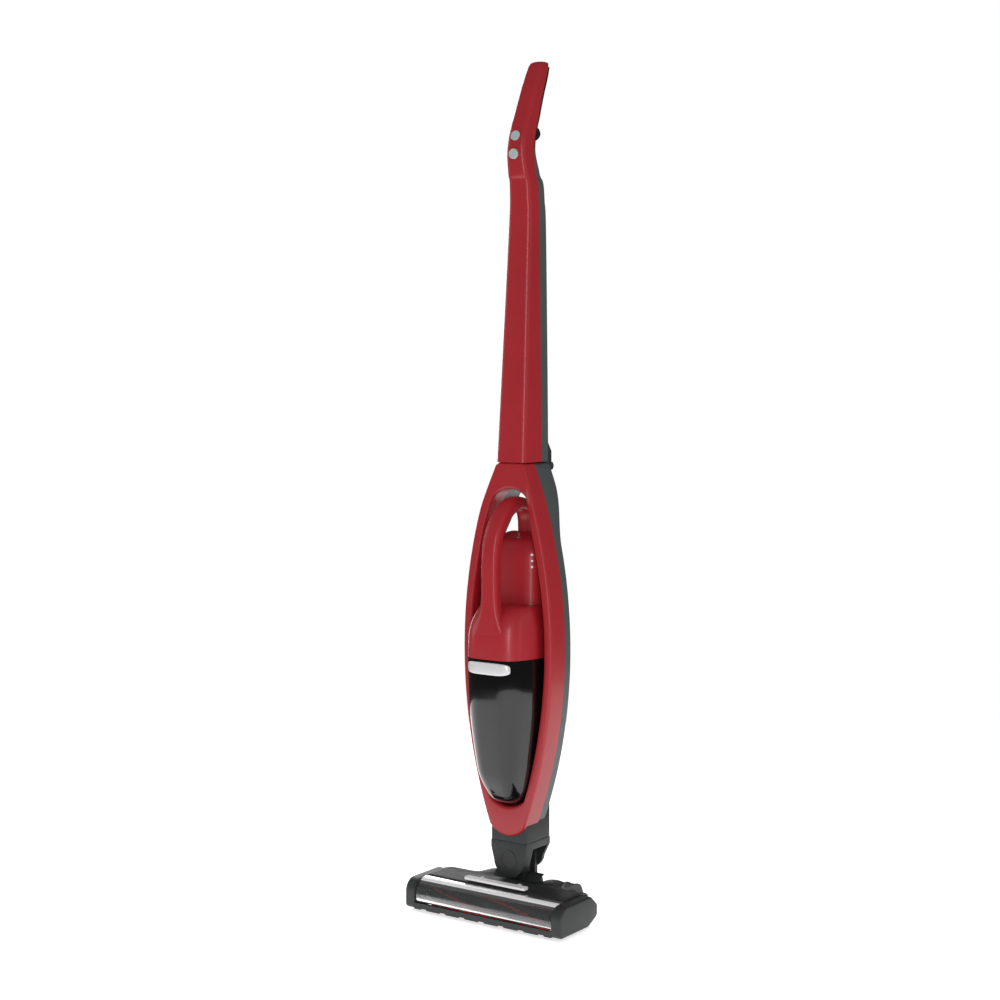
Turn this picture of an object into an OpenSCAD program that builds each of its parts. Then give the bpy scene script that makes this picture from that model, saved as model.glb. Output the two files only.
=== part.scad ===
/* [Overall] */
// Height of the folded-out machine, floor to the tip of the grip
total_h = 1143; // [1050:1:1250]
// Width of the floor head over its end caps
head_w = 250; // [220:1:320]
// Widest part of the oval frame
frame_w = 143; // [130:1:165]
// Height of the bottom of the oval frame above the floor
frame_z = 104; // [98:1:112]
// Height of the oval frame
frame_h = 496; // [470:1:530]

/* [Floor head] */
// Front of the head, ahead of the origin
head_front = 80; // [76:1:90]
// Back of the head behind the origin
head_back = 80; // [76:1:90]
// Depth of the end caps
cap_d = 87; // [80:1:100]
// Width of one end cap
cap_w = 15; // [12:1:20]
// Height of the end caps
cap_h = 42; // [40:1:52]
// Height of the sole above the floor
sole_z = 4; // [3:0.5:6]
// Radius over the brush bristles
brush_r = 19; // [17:0.5:20]
// Radius of the brush core
core_r = 11; // [9:0.5:13]
// Radius of a rear wheel
wheel_r = 15; // [13:0.5:17]
// Width of a rear wheel
wheel_w = 11; // [8:0.5:14]
// Radius of a front roller
roller_r = 5; // [4:0.5:6]
// Diameter of the wheel axles
axle_d = 4; // [3:0.5:5]
// Wall of the plastic mouldings
wall = 2.2; // [1.8:0.1:3]

/* [Neck] */
// Width of the neck
neck_w = 57; // [50:1:64]
// Height of the swivel axis
swivel_z = 72; // [70:0.5:76]
// Radius of the round swivel cap
pin_cap_r = 13; // [10:0.5:16]
// Diameter of the swivel pin
swivel_d = 10; // [8:0.5:12]
// Height of the tilt axis
tilt_z = 34; // [32:0.5:38]
// Radius of the tilt barrel
barrel_r = 16; // [14:0.5:17]

/* [Frame and hand unit] */
// Front face of the frame, ahead of the origin
frame_front_y = 22; // [18:1:26]
// Depth of the red front ring
ring_d = 33; // [28:1:36]
// Depth of the grey rear shell
rear_d = 17; // [14:1:22]
// Width of the ring's front face
ring_w = 13; // [11:0.5:15]
// How far the dust container stands ahead of the origin
bin_front = 67.6; // [60:1:72]
// Height of the joint between hand unit and dust container
bin_z = 344; // [330:1:360]
// Width of the dust container's flat front
bin_flat_w = 74; // [66:1:80]

/* [Handle] */
// Width of the tube at its foot
tube_w = 47; // [42:1:52]
// Width of the grip
grip_w = 28; // [25:1:32]
// Diameter of a hand button
button_d = 14; // [11:0.5:16]
// Travel of the buttons
press = 1.5; // [1:0.25:2.5]
// Diameter of the fold hinge pin
hinge_d = 5; // [4:0.5:6]

/* [Fits] */
// Radial clearance of a turning fit
run_gap = 0.05; // [0.03:0.01:0.1]
// Gap between pieces that move past each other
gap = 0.5; // [0.3:0.1:0.8]

/* [Hidden] */
$fn = 48;

RED = "firebrick";
DARK = "dimgray";
BLACK = [0.1, 0.1, 0.11];

// heights that follow from the sizes above
frame_top = frame_z + frame_h;
frame_mid = frame_z + frame_h / 2 + 1;
split_y = ring_d - frame_front_y;
rear_y = split_y + rear_d;
seam_z = frame_top - 1;
bend_z = total_h - 125;

// brush, motor and wheels
in_w = head_w - 2 * cap_w;
brush_y = 25.5 - head_front;
brush_z = brush_r + 0.6;
motor_y = brush_y + 42;
motor_z = brush_z + 4;
belt_x = in_w / 2 - 9;
belt_w = 6;
brush_pulley_r = 9;
motor_pulley_r = 5;
belt_t = 1.2;
wheel_x = 34;
wheel_y = head_back - wheel_r - 3;
roller_x = 70;
roller_y = -1;
roller_len = 14;
window_r = brush_r + 2.4;

// neck: fork plates at front and back, the yoke's arms between them
fork_front = 17.5;
fork_t = 17;
arm_t = 6;
fork_back_y = 40;
back_t = 6;
front_arm_y = fork_t - fork_front + gap;
back_arm_y = fork_back_y - back_t - gap - arm_t;
tilt_y = (front_arm_y + back_arm_y + arm_t) / 2;
collar_z = frame_z - 8;

// hinge at the back of the tube
hinge_y = 66;
hinge_z = seam_z - 6;
hinge_r = 5.5;
hinge_w = 26;
knuckle_w = 12;

// ---- shared shapes ----

// a Y-Z outline drawn out along X, centred on x
module along_x(len, x = 0) {
    translate([x - len / 2, 0, 0]) rotate([90, 0, 90]) linear_extrude(len) children();
}

// an X-Z outline drawn out along Y from y0 to y1
module along_y(y0, y1) {
    translate([0, y1, 0]) rotate([90, 0, 0]) linear_extrude(y1 - y0) children();
}

module rod_x(r, len, x, y, z) {
    along_x(len, x) translate([y, z]) circle(r);
}

module rod_y(r, y0, y1, x, z) {
    along_y(y0, y1) translate([x, z]) circle(r);
}

module rod_z(r, z0, z1, x, y) {
    translate([x, y, z0]) cylinder(r = r, h = z1 - z0);
}

// a box given by its low and high corners
module block(low, high) {
    translate(low) cube(high - low);
}

// part of a ring between two radii and two angles
module arc_band(r0, r1, a0, a1) {
    intersection() {
        difference() {
            circle(r1);
            circle(r0);
        }
        polygon([[0, 0], for (k = [0 : 6]) let (a = a0 + (a1 - a0) * k / 6) 1.5 * r1 * [cos(a), sin(a)]]);
    }
}

// a solid through a stack of rings, each ring counter-clockwise from above
module loft(rings) {
    n = len(rings[0]);
    m = len(rings);
    polyhedron(
        points = [for (ring = rings) each ring],
        faces = [
            [for (i = [0 : n - 1]) i],
            [for (i = [n - 1 : -1 : 0]) (m - 1) * n + i],
            for (k = [0 : m - 2]) for (i = [0 : n - 1])
                let (a = k * n + i, b = k * n + (i + 1) % n) each [[a, a + n, b], [b, a + n, b + n]]
        ]
    );
}

// a screw pointing along -Z, head at the top
module screw(pos, len = 10, r = 1.5) {
    translate(pos) {
        translate([0, 0, -len]) cylinder(r = r, h = len + 0.1);
        difference() {
            cylinder(r = 2 * r, h = 1.6);
            translate([0, 0, 0.8]) cylinder(r = 0.7 * r, h = 1, $fn = 6);
        }
    }
}

// ---- floor head ----

cap_back = cap_d - head_front;
brush_top = brush_z + window_r + wall;
pod_in = neck_w / 2 + 10;
pod_w = wheel_w + 8;
hump_r = max(barrel_r + gap + wall, tilt_y + 8.9 - cap_back);
barrel_len = 44;
leg_y = brush_y + 20;

// lower half of the head: sole, chamber wall, barrel saddle and wheel pods
module head_base() {
    color(DARK) difference() {
        union() {
            block([-in_w / 2, 4 - head_front, sole_z], [in_w / 2, cap_back - 1, sole_z + 2.6]);
            along_x(in_w) translate([brush_y, brush_z]) arc_band(window_r, window_r + wall, -40, 76);
            for (s = [-1, 1]) wheel_pod(s);
            for (s = [-1, 1])
                along_x(5, s * (barrel_len / 2 + gap + 2.5)) hull() {
                    translate([tilt_y, tilt_z]) circle(7, $fn = 32);
                    translate([tilt_y - 13, sole_z]) square([26, 2]);
                }
            block([-pod_in, cap_back - 4, sole_z], [pod_in, tilt_y + 14, sole_z + 2.6]);
        }
        block([-in_w / 2 + 4, brush_y - 14, -1], [in_w / 2 - 4, brush_y + 14, sole_z + 4]);
        rod_y(9, brush_y, brush_y + 40, 0, brush_z + 4);
        rod_x(4 + run_gap, in_w, 0, tilt_y, tilt_z);
        block([belt_x - belt_w / 2 - 1, brush_y, 8], [belt_x + belt_w / 2 + 1, motor_y + 8, brush_top]);
        screw_places() translate([0, 0, -screw_len]) rod_z(1.5, 0, screw_len, 0, 0);
        screw_places() rod_z(3, 0, 1.6, 0, 0);
        for (s = [-1, 1]) {
            rod_x(axle_d / 2, 60, s * (pod_in + 28), wheel_y, wheel_r);
            roller_well(s);
        }
    }
}

// forked arm that carries a rear wheel
module wheel_pod(s) {
    x = s * (pod_in + pod_w / 2);
    difference() {
        along_x(pod_w, x) hull() {
            translate([wheel_y, wheel_r + 3]) circle(wheel_r - 2, $fn = 32);
            translate([wheel_y + 12, wheel_r - 6]) circle(head_back - wheel_y - 12, $fn = 32);
            translate([cap_back - 4, sole_z]) square([4, 30]);
        }
        along_x(wheel_w + 2 * gap, x) translate([wheel_y, wheel_r]) circle(wheel_r + 1.5);
        along_x(wheel_w + 2 * gap, x) translate([wheel_y - wheel_r - 1.5, -2]) square([40, wheel_r + 2]);
    }
}

module roller_well(s) {
    block([s * roller_x - roller_len / 2 - gap, roller_y - roller_r, 0],
          [s * roller_x + roller_len / 2 + gap, roller_y + roller_r, sole_z + 3]);
    rod_x(1, roller_len + 8, s * roller_x, roller_y, roller_r);
}

// top cover: a bent strip over the motor, with a hooded opening for the barrel
module head_cover() {
    top = brush_top + 1;
    color(DARK) union() {
        difference() {
            union() {
                along_x(in_w) polygon([
                    [brush_y + 5, top], [brush_y + 34, top + 1], [cap_back - 8, top - 4], [cap_back, top - 13],
                    [cap_back, sole_z + 3], [cap_back - wall, sole_z + 3], [cap_back - wall, top - 14],
                    [cap_back - 9, top - 6], [brush_y + 34, top - 1.4], [brush_y + 5, top - 1.2]]);
                for (s = [-1, 1]) cover_shoulder(s, top);
            }
            block([-barrel_len / 2 - 6, tilt_y - hump_r + 0.6, 0], [barrel_len / 2 + 6, 60, 90]);
            for (s = [-1, 1]) pod_root(s);
            latch_slot();
            pedal_slots();
        }
        for (s = [-1, 1]) along_x(pod_in - 17, s * (pod_in + 13) / 2)
            translate([tilt_y, tilt_z]) arc_band(hump_r - wall, hump_r, 100, 165);
    }
}

// raised corner between the wide front and the wheel pod
module cover_shoulder(s, top) {
    x = s * (pod_in + pod_w / 2);
    difference() {
        hull() {
            along_x(pod_w, x) translate([cap_back - 10, top - 8]) square([10, 6]);
            along_x(pod_w, x) translate([cap_back - 4, sole_z + 32]) square([4, 2]);
            along_x(pod_w - 4, x) translate([cap_back + 22, sole_z + 31]) square([2, 2]);
        }
        along_x(pod_w - 2 * wall, x) polygon([
            [cap_back - 12, top - 13], [cap_back - wall - 0.2, top - 11], [cap_back - wall - 0.2, 0]]);
        block([-head_w, cap_back, -1], [head_w, head_back, sole_z + 31]);
    }
}

// room in the cover for the root of a wheel pod
module pod_root(s) {
    along_x(pod_w + 2 * gap, s * (pod_in + pod_w / 2)) translate([cap_back - 4 - gap, 0]) square([20, sole_z + 31]);
}

module latch_slot() {
    block([in_w / 2 - 22, cap_back - 18, brush_top - 8], [in_w / 2 - 8, cap_back - 8, brush_top + 4]);
}

module pedal_slots() {
    for (s = [-1, 1]) block([s * 30 - 3, leg_y - 3, brush_top - 2], [s * 30 + 3, leg_y + 3, brush_top + 4]);
}

// end cap: a closed side wall with a rounded front and a bevelled back
module end_cap(s) {
    x = s * (head_w - cap_w) / 2;
    nose_r = (cap_h - sole_z) / 2;
    color(DARK) along_x(cap_w, x) hull() {
        translate([nose_r - head_front, cap_h - nose_r]) circle(nose_r, $fn = 48);
        translate([1 - head_front, sole_z]) square([4, 8]);
        translate([cap_back - 16, cap_h - 4]) circle(4, $fn = 32);
        translate([cap_back - 3, cap_h - 15]) circle(3, $fn = 32);
        translate([cap_back - 3, sole_z + 12]) circle(3, $fn = 32);
        translate([cap_back - 20, sole_z]) square([4, 4]);
    }
}

module end_cap_left() end_cap(-1);
module end_cap_right() end_cap(1);

// clear curved panel over the brush
module brush_window() {
    color([0.75, 0.8, 0.85, 0.4])
        along_x(in_w - 1) translate([brush_y, brush_z]) arc_band(window_r, window_r + 1.8, 77, 196);
}

// bumper along the front of the sole, with notches that let large crumbs in
module front_lip() {
    notches = 7;
    pitch = in_w / notches;
    color(DARK) difference() {
        block([-in_w / 2, -head_front, sole_z], [in_w / 2, 4 - head_front, sole_z + 8]);
        for (k = [0 : notches - 1])
            translate([(k + 0.5 - notches / 2) * pitch, 0, sole_z])
                rod_y(6, -head_front - 1, 5 - head_front, 0, -3);
    }
}

module sole_seal() {
    color(BLACK) block([-in_w / 2 + 6, brush_y + 15, 1], [in_w / 2 - 6, brush_y + 17, sole_z]);
}

// motor that drives the brush, with its shaft towards the belt
module brush_motor() {
    color("silver") {
        rod_x(13, 52, belt_x - 40, motor_y, motor_z);
        rod_x(1.5, 14, belt_x - 9, motor_y, motor_z);
    }
}

module drive_belt() {
    color(BLACK) difference() {
        belt_loop(belt_t + 0.3);
        belt_loop(0.3, 1);
    }
}

module belt_loop(grow, over = 0) {
    along_x(belt_w + over, belt_x) hull() {
        translate([motor_y, motor_z]) circle(motor_pulley_r + grow, $fn = 48);
        translate([brush_y, brush_z]) circle(brush_pulley_r + grow, $fn = 48);
    }
}

bearing_x = in_w / 2 - 3;

module brush_bearings() {
    color("silver") for (s = [-1, 1]) difference() {
        rod_x(6, 4, s * (bearing_x + 1), brush_y, brush_z);
        rod_x(3 + run_gap, 5, s * (bearing_x + 1), brush_y, brush_z);
    }
}

module brush_core() {
    color(BLACK) {
        rod_x(core_r, 2 * (belt_x - belt_w / 2 - 2) - 2, 0, brush_y, brush_z);
        rod_x(3, 2 * (bearing_x + 2), 0, brush_y, brush_z);
    }
}

// rows of bristles that wind round the core
module brush_bristles() {
    rows = 4;
    len = 2 * (belt_x - belt_w / 2 - 8);
    color(RED) for (k = [0 : rows - 1]) loft_row(len, 360 * k / rows);
}

// one row: a thin blade swept along a helix from one end to the other
module loft_row(len, start) {
    steps = 14;
    turn = 150;
    translate([0, brush_y, brush_z]) rotate([0, 90, 0]) loft([
        for (k = [0 : steps]) let (a = start + turn * k / steps, z = len * (k / steps - 0.5)) [
            for (p = [[core_r + 0.15, -1.2], [brush_r, -0.8], [brush_r, 0.8], [core_r + 0.15, 1.2]])
                [p.x * cos(a) - p.y * sin(a), p.x * sin(a) + p.y * cos(a), z]
        ]
    ]);
}

module brush_pulley() {
    color("gray") difference() {
        rod_x(brush_pulley_r, belt_w + 1, belt_x, brush_y, brush_z);
        rod_x(3, belt_w + 3, belt_x, brush_y, brush_z);
    }
}

module motor_pulley() {
    color("gray") difference() {
        rod_x(motor_pulley_r, belt_w + 1, belt_x, motor_y, motor_z);
        rod_x(1.5 + run_gap, belt_w + 3, belt_x, motor_y, motor_z);
    }
}

module wheel_axles() {
    color("silver") for (s = [-1, 1])
        rod_x(axle_d / 2, pod_w - 2, s * (pod_in + pod_w / 2), wheel_y, wheel_r);
}

module rear_wheel(s) {
    x = s * (pod_in + pod_w / 2);
    color(BLACK) difference() {
        union() {
            rod_x(wheel_r, wheel_w - 3, x, wheel_y, wheel_r);
            rod_x(wheel_r - 1.5, wheel_w, x, wheel_y, wheel_r);
        }
        rod_x(axle_d / 2 + run_gap, wheel_w + 2, x, wheel_y, wheel_r);
    }
}

module rear_wheel_left() rear_wheel(-1);
module rear_wheel_right() rear_wheel(1);

module roller_pins() {
    color("silver") for (s = [-1, 1]) rod_x(1, roller_len + 8, s * roller_x, roller_y, roller_r);
}

module front_roller(s) {
    color(BLACK) difference() {
        rod_x(roller_r, roller_len, s * roller_x, roller_y, roller_r);
        rod_x(1 + run_gap, roller_len + 2, s * roller_x, roller_y, roller_r);
    }
}

module front_roller_left() front_roller(-1);
module front_roller_right() front_roller(1);

// white bar that is pressed with a foot to clean the brush
module clean_pedal() {
    z = brush_top + 1.4 + press + gap;
    color("whitesmoke") union() {
        hull() for (s = [-1, 1]) {
            translate([s * 46, brush_y + 6, z]) cylinder(r = 3, h = 3, $fn = 24);
            translate([s * 46, brush_y + 11, z]) cylinder(r = 3, h = 3, $fn = 24);
        }
        for (s = [-1, 1]) {
            block([s * 30 - 2, brush_y + 8, z], [s * 30 + 2, leg_y + 2, z + 2]);
            block([s * 30 - 2, leg_y - 2, brush_top - 4], [s * 30 + 2, leg_y + 2, z + 1]);
        }
    }
}

// two small coils under the pedal's legs, each a plain sleeve
module pedal_spring() {
    color("silver") for (s = [-1, 1]) difference() {
        rod_z(1.8, brush_top - 8, brush_top - 4, s * 30, leg_y);
        rod_z(1.1, brush_top - 9, brush_top - 3, s * 30, leg_y);
    }
}

// side catch that lets the brush out
module brush_latch() {
    color(BLACK) block([in_w / 2 - 21, cap_back - 17.4, brush_top - 7], [in_w / 2 - 13, cap_back - 8.6, brush_top + 1]);
}

screw_len = 7;

// four places under the sole, heads down
module screw_places() {
    for (s = [-1, 1]) for (y = [cap_back - 12, brush_y + 24])
        translate([s * 90, y, sole_z + 1.6]) mirror([0, 0, 1]) children();
}

module head_screws() {
    color("silver") screw_places() screw([0, 0, 0], screw_len);
}

// ---- neck ----

arm_w = 12;
fork_gap = 2;
bridge_z = swivel_z + arm_w + fork_gap;
duct_r = 9;

// barrel that tilts in the head, with an arm at front and back for the swivel
module tilt_yoke() {
    color(DARK) difference() {
        union() {
            rod_x(barrel_r, barrel_len, 0, tilt_y, tilt_z);
            for (y = [front_arm_y, back_arm_y]) along_y(y, y + arm_t) union() {
                translate([0, swivel_z]) circle(arm_w);
                translate([-arm_w, tilt_z]) square([2 * arm_w, swivel_z - tilt_z]);
            }
            rod_x(4, barrel_len + 10, 0, tilt_y, tilt_z);
        }
        rod_z(duct_r + 1, tilt_z + 2, swivel_z + 20, 0, tilt_y);
        rod_y(duct_r - 2, tilt_y - barrel_r - 1, tilt_y, 0, tilt_z);
        rod_y(swivel_d / 2 + run_gap, -20, 50, 0, swivel_z);
    }
}

// ribbed hose from the barrel towards the frame's duct
module duct_hose() {
    low = tilt_z + 2;
    ribs = 9;
    pitch = (swivel_z + 9 - low) / ribs;
    color(BLACK) translate([0, tilt_y, low]) rotate_extrude() polygon([
        [duct_r - 1.4, 0],
        for (k = [0 : ribs - 1]) each [[duct_r + 0.6, k * pitch], [duct_r, (k + 0.5) * pitch]],
        [duct_r, ribs * pitch], [duct_r - 1.4, ribs * pitch]
    ]);
}

// fork on the frame: a rounded front plate, a thin back plate and the bridge over them
module neck_fork() {
    plate_r = 20;
    color(DARK) difference() {
        union() {
            along_y(-fork_front, fork_t - fork_front) hull() {
                translate([0, swivel_z]) circle(plate_r, $fn = 48);
                translate([-neck_w / 2, bridge_z]) square([neck_w, collar_z - bridge_z]);
            }
            along_y(fork_back_y - back_t, fork_back_y) hull() {
                translate([0, swivel_z]) circle(plate_r, $fn = 48);
                translate([-neck_w / 2, bridge_z]) square([neck_w, collar_z - bridge_z]);
            }
            block([-neck_w / 2, -fork_front, bridge_z], [neck_w / 2, fork_back_y, collar_z]);
        }
        rod_z(duct_r + 2, bridge_z - 1, collar_z + 1, 0, tilt_y);
        rod_y(swivel_d / 2, -fork_front + 4, fork_back_y - 2, 0, swivel_z);
        rod_y(pin_cap_r + 0.3, -fork_front - 1, 2 - fork_front, 0, swivel_z);
    }
}

module neck_collar() {
    color(DARK) difference() {
        block([-neck_w / 2, -fork_front, collar_z], [neck_w / 2, fork_back_y, frame_z + 42]);
        along_y(-60, rear_y + gap) oval(-gap);
        rod_z(duct_r + 2, 0, frame_mid, 0, tilt_y);
        block([-neck_w / 2 + wall, -60, frame_z - 1], [neck_w / 2 - wall, fork_back_y - wall, frame_z + 40]);
    }
}

// two stub pins, one in each fork plate
module swivel_pin() {
    color("silver") {
        rod_y(swivel_d / 2, -fork_front + 4, front_arm_y + arm_t, 0, swivel_z);
        rod_y(swivel_d / 2, back_arm_y, fork_back_y - 2, 0, swivel_z);
    }
}

module pin_cap() {
    color(BLACK) difference() {
        rod_y(pin_cap_r, -fork_front - 0.6, 2 - fork_front, 0, swivel_z);
        rod_y(pin_cap_r - 2, -fork_front - 1, -fork_front - 0.1, 0, swivel_z);
    }
}

// ---- frame ----

half_w = frame_w / 2;
half_h = frame_h / 2;
sag = half_w - tube_w / 2 - 2;
side_r = (half_h * half_h + sag * sag) / (2 * sag);
foot_r = 36;
arch_r = 35;
arch_z = frame_top - 35;
cradle_z = frame_z + 40;
foot_arc_r = 40;

// oval outline of the frame: two long side arcs, a round foot and a flat top
module oval(inset) {
    intersection() {
        translate([half_w - side_r, frame_mid]) circle(side_r - inset, $fn = 180);
        translate([side_r - half_w, frame_mid]) circle(side_r - inset, $fn = 180);
        union() {
            translate([0, frame_z + foot_r]) circle(foot_r - inset);
            translate([-frame_w, frame_z + 40]) square([2 * frame_w, frame_h - 40 - inset]);
        }
    }
}

// the opening that the hand unit sits in
module opening(grow) {
    intersection() {
        oval(ring_w - grow);
        union() {
            translate([0, arch_z - arch_r]) circle(arch_r + grow);
            translate([0, cradle_z + foot_arc_r]) circle(foot_arc_r + grow);
            translate([-frame_w, cradle_z + foot_arc_r]) square([2 * frame_w, arch_z - arch_r - cradle_z - foot_arc_r]);
        }
    }
}

// side view of the frame, whose front leans back towards the tube
module frame_side(y0, y1, top_y0, top_y1) {
    along_x(2 * frame_w) polygon([
        [y0, 0], [y0, frame_top - 62], [top_y0, frame_top], [top_y1, frame_top],
        [top_y1, frame_top - 30], [y1, frame_top - 110], [y1, 0]]);
}

foot_y0 = -15;
foot_y1 = 48;

module frame_front() {
    color(RED) difference() {
        intersection() {
            along_y(-frame_front_y, split_y) oval(0);
            frame_side(-frame_front_y, split_y + 1, foot_y0, split_y + 1);
        }
        along_y(-frame_front_y - 1, split_y + 1) opening(0);
        intersection() {
            along_y(-frame_front_y + wall, split_y + 1) difference() {
                oval(wall);
                opening(wall);
            }
            frame_side(-frame_front_y + wall, split_y + 2, foot_y0 + wall, split_y + 2);
        }
        rod_z(duct_r + 2.3, 0, cradle_z + 6, 0, tilt_y);
    }
}

// grey back of the frame with the wall that the hand unit rests against
module frame_rear() {
    color(DARK) difference() {
        union() {
            difference() {
                intersection() {
                    along_y(split_y, foot_y1) oval(1);
                    frame_side(split_y - 1, rear_y, split_y - 1, foot_y1);
                }
                along_y(split_y - 1, foot_y1 + 1) opening(0);
                intersection() {
                    along_y(split_y - 1, foot_y1 + 1) difference() {
                        oval(1 + wall);
                        opening(wall);
                    }
                    frame_side(split_y - 2, rear_y - wall, split_y - 2, foot_y1 - wall);
                }
            }
            intersection() {
                along_y(rear_y - wall, rear_y) opening(1);
                block([-frame_w, 0, 0], [frame_w, 60, frame_mid + 110]);
            }
        }
        rod_z(duct_r + 2.3, 0, cradle_z + 6, 0, tilt_y);
        along_x(hinge_w + 1) polygon([[foot_y1 - 1, seam_z - 46], [70, seam_z - 46], [70, seam_z + 100], [foot_y1 - 1, seam_z + 100]]);
    }
}

module suction_duct() {
    color(DARK) difference() {
        rod_z(duct_r + 2, collar_z, cradle_z + 5, 0, tilt_y);
        rod_z(duct_r + 0.6, collar_z - 1, cradle_z + 6, 0, tilt_y);
    }
}

module dock_contacts() {
    color("gold") for (s = [-1, 1])
        block([s * 8 - 3, rear_y - wall - 0.5, bin_z + 8], [s * 8 + 3, rear_y - wall, bin_z + 28]);
}

// ---- fold hinge ----

module hinge_lower() {
    color(DARK) difference() {
        union() {
            along_x(hinge_w) polygon([
                [foot_y1 - 1, hinge_z - 40], [hinge_y - 6, hinge_z - 40], [hinge_y, hinge_z - 30],
                [hinge_y, hinge_z - 0.3], [foot_y1 - 1, hinge_z - 0.3]]);
            rod_x(hinge_r, knuckle_w, 0, hinge_y, hinge_z);
        }
        for (s = [-1, 1]) rod_x(hinge_r + gap, 20, s * (knuckle_w / 2 + 10 - gap / 2), hinge_y, hinge_z);
        rod_x(hinge_d / 2, 60, 0, hinge_y, hinge_z);
    }
}

module hinge_upper() {
    color(DARK) difference() {
        union() {
            along_x(hinge_w) polygon([
                [foot_y1 + 0.5, hinge_z + 0.3], [hinge_y, hinge_z + 0.3], [hinge_y, hinge_z + 20],
                [hinge_y - 8, hinge_z + 32], [foot_y1 + 0.5, hinge_z + 36]]);
            rod_x(hinge_r, hinge_w, 0, hinge_y, hinge_z);
        }
        rod_x(hinge_r + gap, knuckle_w + gap, 0, hinge_y, hinge_z);
        rod_x(hinge_d / 2 + run_gap, 60, 0, hinge_y, hinge_z);
        block([-7, hinge_y - 8, hinge_z + 11], [7, 90, hinge_z + 21]);
    }
}

module hinge_pin() {
    color("silver") rod_x(hinge_d / 2, hinge_w, 0, hinge_y, hinge_z);
}

module fold_button() {
    color(BLACK) block([-7 + gap, hinge_y - 8 + press + 0.6, hinge_z + 11 + gap],
                       [7 - gap, hinge_y + 2.5, hinge_z + 21 - gap]);
}

// ---- tube and grip ----

// height, half width, front, split and back of the tube, from foot to tip
tube = let (w = tube_w / 2, g = grip_w / 2, t = total_h) [
    [seam_z + 1.2, w, foot_y0, 27, foot_y1],
    [seam_z + 165, w - 2.6, -4.5, 28, 49.5],
    [bend_z - 68, (w + g) / 2 - 1, 6.5, 29.4, 49.5],
    [bend_z - 32, g + 2, 0, 26, 41],
    [bend_z - 12, g + 1, -5.6, 21, 30.5],
    [bend_z + 4, g + 0.5, -6.7, 20, 26.5],
    [bend_z + 24, g, 0, 25, 33],
    [t - 88, g, 6, 31, 39],
    [t - 58, g - 0.5, 18.6, 40, 48.5],
    [t - 30, g - 2, 33, 51, 59],
];
tip = let (g = grip_w / 2, t = total_h) [
    [t - 30, g - 2, 33, 51, 59],
    [t - 14, g - 3.5, 42, 58, 65.5],
    [t - 5, g - 6, 49, 61.5, 68.5],
    [t, g - 10, 56, 64, 68.5],
];
strip_from = 5;
strip = concat([for (k = [strip_from : len(tube) - 2]) tube[k]], [for (k = [0 : 2]) tip[k]]);

function arc_pts(x, y, r, a0, a1, n = 4) = [for (k = [0 : n]) let (a = a0 + (a1 - a0) * k / n)
    [x + r * cos(a), y + r * sin(a)]];

// front half of a rounded tube section
function half(w, y0, y1) = let (r = min(9, w - 1.5, y1 - y0 - 1))
    concat([[-w, y1]], arc_pts(r - w, y0 + r, r, 180, 270), arc_pts(w - r, y0 + r, r, 270, 360), [[w, y1]]);

// back half: the front half turned round
function back_half(w, y0, y1) = [for (p = half(w, -y1, -y0)) [-p.x, -p.y]];

// stations with the first one lowered, so that a cavity runs out of the foot
function open_foot(st) = [for (k = [0 : len(st) - 1]) let (s = st[k]) [s[0] - (k == 0 ? 1 : 0), s[1], s[2], s[3], s[4]]];

function at_z(pts, z) = [for (p = pts) [p.x, p.y, z]];

function front_y(z) = lookup(z, [for (s = tube) [s[0], s[2]]]);
function back_y(z) = lookup(z, [for (s = tube) [s[0], s[4]]]);

module tube_front() {
    color(RED) difference() {
        loft([for (s = concat([for (k = [0 : len(tube) - 2]) tube[k]], tip)) at_z(half(s[1], s[2], s[3]), s[0])]);
        loft([for (s = open_foot(tube)) at_z(half(s[1] - wall, s[2] + wall, s[3] + 1), s[0])]);
        button_at(bend_z - 6, 0, run_gap);
        button_at(bend_z + 19, 17, run_gap);
    }
}

module tube_rear() {
    low = [for (k = [0 : strip_from]) tube[k]];
    color(DARK) difference() {
        loft([for (s = low) at_z(back_half(s[1] - 0.8, s[3], s[4]), s[0])]);
        loft([for (s = open_foot([for (k = [0 : strip_from - 1]) tube[k]]))
            at_z(back_half(s[1] - 0.8 - wall, s[3] - 1, s[4] - wall), s[0])]);
    }
}

// grey underside of the grip with a stop for the forefinger
module grip_strip() {
    stop = bend_z + 18;
    color(DARK) union() {
        loft([for (s = strip) at_z(back_half(s[1] - 0.8, s[3], s[4]), s[0])]);
        hull() {
            rod_x(4, 14, 0, back_y(stop) + 1, stop, $fn = 24);
            rod_x(3, 14, 0, back_y(stop + 16) - 3, stop + 16, $fn = 24);
        }
    }
}

// space or body of a button whose axis leans back by tilt degrees
module button_at(z, tilt, grow, out = 0, len = 30) {
    translate([0, front_y(z), z]) rotate([90 - tilt, 0, 0])
        translate([0, 0, out - 5.5]) cylinder(r = button_d / 2 + grow, h = out > 0 ? 5.5 : len);
}

module power_button() {
    color("silver") button_at(bend_z + 19, 17, 0, press);
}

module mode_button() {
    color("silver") button_at(bend_z - 6, 0, 0, press);
}

module handle_board() {
    color("darkgreen") block([-9, 11, bend_z - 20], [9, 12.6, bend_z + 22]);
}

module handle_cable() {
    color(BLACK) rod_z(2, seam_z + 12, bend_z - 22, 0, 17);
}

// ---- hand unit ----

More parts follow.
